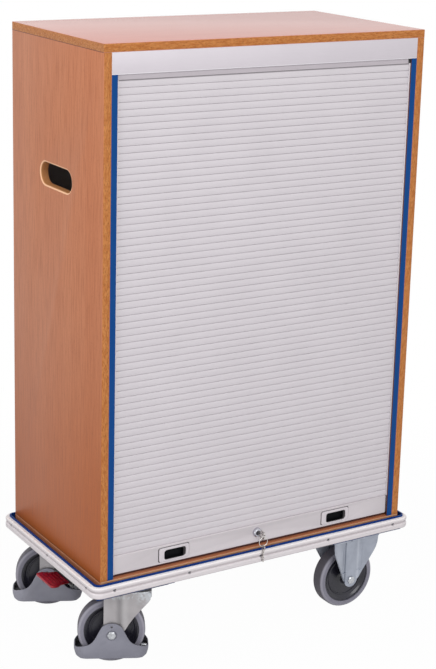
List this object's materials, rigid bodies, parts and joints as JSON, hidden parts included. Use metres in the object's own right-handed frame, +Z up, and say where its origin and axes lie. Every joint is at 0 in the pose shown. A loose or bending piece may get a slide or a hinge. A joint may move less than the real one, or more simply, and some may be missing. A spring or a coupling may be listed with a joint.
{
  "type": "document trolley",
  "caption": "Tall filing cabinet with a lockable roll shutter, on a bumpered steel frame with swivel and fixed castors and a central brake pedal.",
  "frame": {"origin": "on the floor, under the middle of the cabinet", "axes": "+X along the width, away from the brake pedal; -Y out of the shutter front; +Z up"},
  "size_m": [0.9088, 0.525, 1.468],
  "materials": {
    "beech": "beech-pattern melamine coating, satin",
    "board_grey": "light grey melamine coating, satin",
    "shutter": "light grey extruded plastic, satin",
    "pull_black": "black moulded plastic, matt",
    "strip_blue": "blue plastic trim, satin",
    "frame_blue": "blue powder coat, semi-gloss",
    "bumper": "off-white soft plastic, matt",
    "zinc": "zinc plated steel, satin",
    "tyre": "grey rubber, matt",
    "wheel_black": "charcoal moulded plastic, satin",
    "guard_grey": "grey moulded plastic, matt",
    "pedal_red": "red moulded plastic, satin",
    "lever_black": "black coated steel, satin",
    "chrome": "polished chrome",
    "brass_key": "nickel plated brass"
  },
  "bodies": {
    "base": {"base_frame": "frame_blue", "deck_board": "board_grey", "bumper_strip": "bumper", "bumper_screws": "zinc", "bottom_panel": "beech", "left_side_panel": "beech", "right_side_panel": "beech", "top_panel": "beech", "back_panel": "board_grey", "inner_back_panel": "board_grey", "inner_top_panel": "board_grey", "lower_shelf": "board_grey", "upper_shelf": "board_grey", "shelf_pins": "zinc", "pelmet": "shutter", "left_trim_strip": "strip_blue", "right_trim_strip": "strip_blue", "castor_bolts": "zinc", "pedal_bracket": "zinc", "pedal_pivot_pin": "zinc", "shaft_clips": "zinc", "front_swivel_plate": "zinc", "front_king_pin": "zinc", "front_fixed_bracket": "zinc", "front_fixed_axle": "zinc", "rear_swivel_plate": "zinc", "rear_king_pin": "zinc", "rear_fixed_bracket": "zinc", "rear_fixed_axle": "zinc"},
    "shutter": {"shutter_slats": "shutter", "shutter_bar": "shutter", "left_finger_pull": "pull_black", "right_finger_pull": "pull_black", "lock_barrel": "chrome"},
    "lock": {"lock_plug": "chrome", "lock_key": "brass_key"},
    "ring": {"key_ring": "brass_key"},
    "loose_key": {"spare_key": "brass_key"},
    "pedal": {"pedal_lever": "lever_black", "brake_pedal": "pedal_red"},
    "shaft": {"brake_shaft": "zinc"},
    "front_castor": {"front_swivel_fork": "zinc", "front_foot_guard": "guard_grey", "front_swivel_axle": "zinc"},
    "front_swivel_wheel": {"front_swivel_wheel_centre": "wheel_black", "front_swivel_tyre": "tyre"},
    "front_fixed_wheel": {"front_fixed_wheel_centre": "wheel_black", "front_fixed_tyre": "tyre"},
    "front_plunger": {"front_brake_plunger": "zinc"},
    "rear_castor": {"rear_swivel_fork": "zinc", "rear_foot_guard": "guard_grey", "rear_swivel_axle": "zinc"},
    "rear_swivel_wheel": {"rear_swivel_wheel_centre": "wheel_black", "rear_swivel_tyre": "tyre"},
    "rear_fixed_wheel": {"rear_fixed_wheel_centre": "wheel_black", "rear_fixed_tyre": "tyre"},
    "rear_plunger": {"rear_brake_plunger": "zinc"}
  },
  "joints": [
    {"name": "shutter_lift", "type": "slide", "parent": "base", "child": "shutter", "axis": [0, 0, 1], "range_m": [0, 1.085], "deforming": ["shutter_slats"]},
    {"name": "lock_turn", "type": "hinge", "parent": "shutter", "child": "lock", "pos_m": [0, -0.2255, 0.28], "axis": [0, 1, 0], "range_deg": [0, 90]},
    {"name": "ring_swing", "type": "hinge", "parent": "lock", "child": "ring", "pos_m": [0, -0.256, 0.2776], "axis": [1, 0, 0], "range_deg": [-80, 0]},
    {"name": "spare_key_swing", "type": "hinge", "parent": "ring", "child": "loose_key", "pos_m": [0, -0.256, 0.2546], "axis": [1, 0, 0], "range_deg": [-60, 0]},
    {"name": "pedal_press", "type": "hinge", "parent": "base", "child": "pedal", "pos_m": [-0.397, 0, 0.155], "axis": [0, -1, 0], "range_deg": [0, 12]},
    {"name": "brake_shaft_turn", "type": "hinge", "parent": "base", "child": "shaft", "pos_m": [-0.328, 0, 0.1935], "axis": [0, 1, 0], "range_deg": [0, 13]},
    {"name": "front_castor_swivel", "type": "hinge", "parent": "base", "child": "front_castor", "pos_m": [-0.308, -0.172, 0.1815], "axis": [0, 0, 1], "continuous": true},
    {"name": "front_swivel_wheel_roll", "type": "hinge", "parent": "front_castor", "child": "front_swivel_wheel", "pos_m": [-0.35255, -0.1493, 0.08], "axis": [0.454, 0.891, 0], "continuous": true},
    {"name": "front_fixed_wheel_roll", "type": "hinge", "parent": "base", "child": "front_fixed_wheel", "pos_m": [0.302, -0.172, 0.08], "axis": [0, 1, 0], "continuous": true},
    {"name": "front_plunger_drop", "type": "slide", "parent": "base", "child": "front_plunger", "axis": [0, 0, -1], "range_m": [0, 0.0052]},
    {"name": "rear_castor_swivel", "type": "hinge", "parent": "base", "child": "rear_castor", "pos_m": [-0.308, 0.172, 0.1815], "axis": [0, 0, 1], "continuous": true},
    {"name": "rear_swivel_wheel_roll", "type": "hinge", "parent": "rear_castor", "child": "rear_swivel_wheel", "pos_m": [-0.35255, 0.1947, 0.08], "axis": [0.454, 0.891, 0], "continuous": true},
    {"name": "rear_fixed_wheel_roll", "type": "hinge", "parent": "base", "child": "rear_fixed_wheel", "pos_m": [0.302, 0.172, 0.08], "axis": [0, 1, 0], "continuous": true},
    {"name": "rear_plunger_drop", "type": "slide", "parent": "base", "child": "rear_plunger", "axis": [0, 0, -1], "range_m": [0, 0.0052]}
  ],
  "couplings": [
    {"joint": "brake_shaft_turn", "follows": "pedal_press", "ratio": 1.02},
    {"joint": "front_plunger_drop", "follows": "pedal_press", "m_per_rad": 0.023873},
    {"joint": "rear_plunger_drop", "follows": "pedal_press", "m_per_rad": 0.023873}
  ]
}
